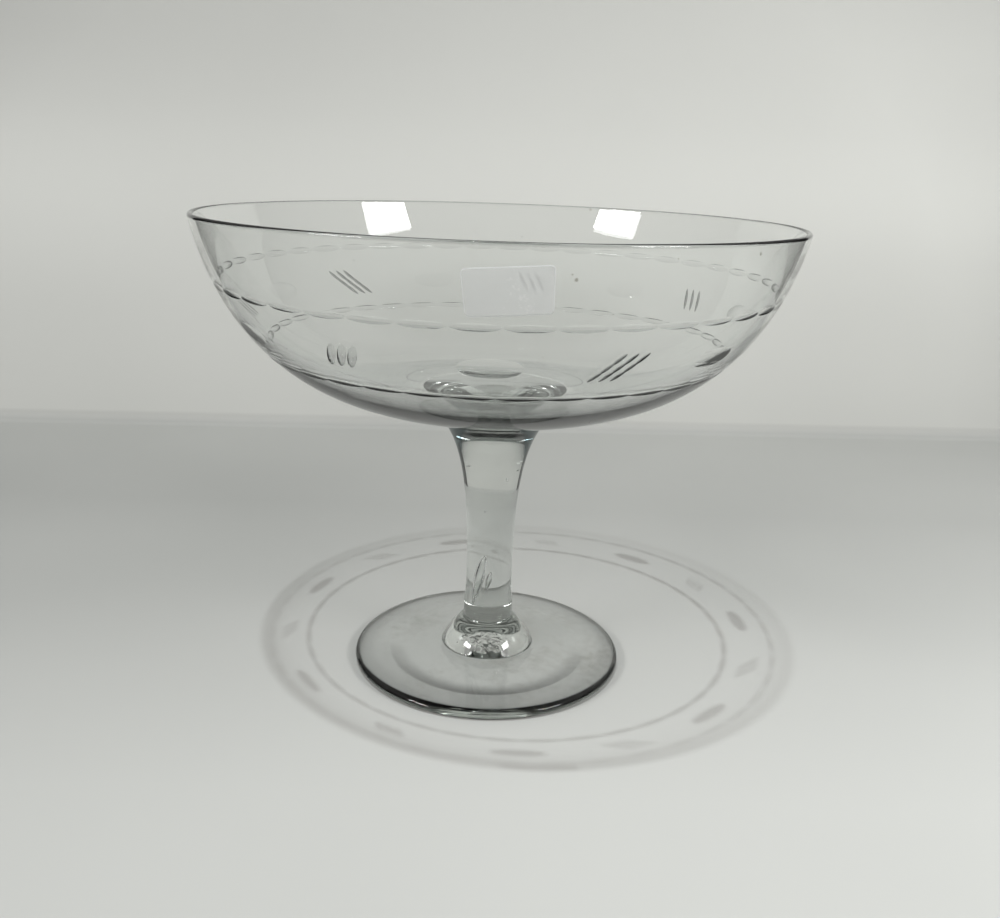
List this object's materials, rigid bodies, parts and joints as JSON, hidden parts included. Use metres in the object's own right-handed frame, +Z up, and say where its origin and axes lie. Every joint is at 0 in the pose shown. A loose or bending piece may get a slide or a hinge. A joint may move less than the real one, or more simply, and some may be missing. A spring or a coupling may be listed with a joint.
{
  "type": "footed glass bowl",
  "caption": "Wide clear glass bowl with wheel-cut bands, raised on a solid waisted stem and a flat disc foot, as a table centrepiece.",
  "frame": {"origin": "on the table, under the middle of the foot", "axes": "+Z up along the stem, -Y towards the side of the bowl that carries the label, +X to the right of it"},
  "size_m": [0.336, 0.336, 0.27],
  "materials": {
    "clear_glass": "clear polished glass with a faint grey-green tint",
    "label_film": "clear self-adhesive film with a satin surface"
  },
  "bodies": {
    "root": {"bowl": "clear_glass", "stem": "clear_glass", "foot": "clear_glass", "label": "label_film"}
  },
  "joints": []
}
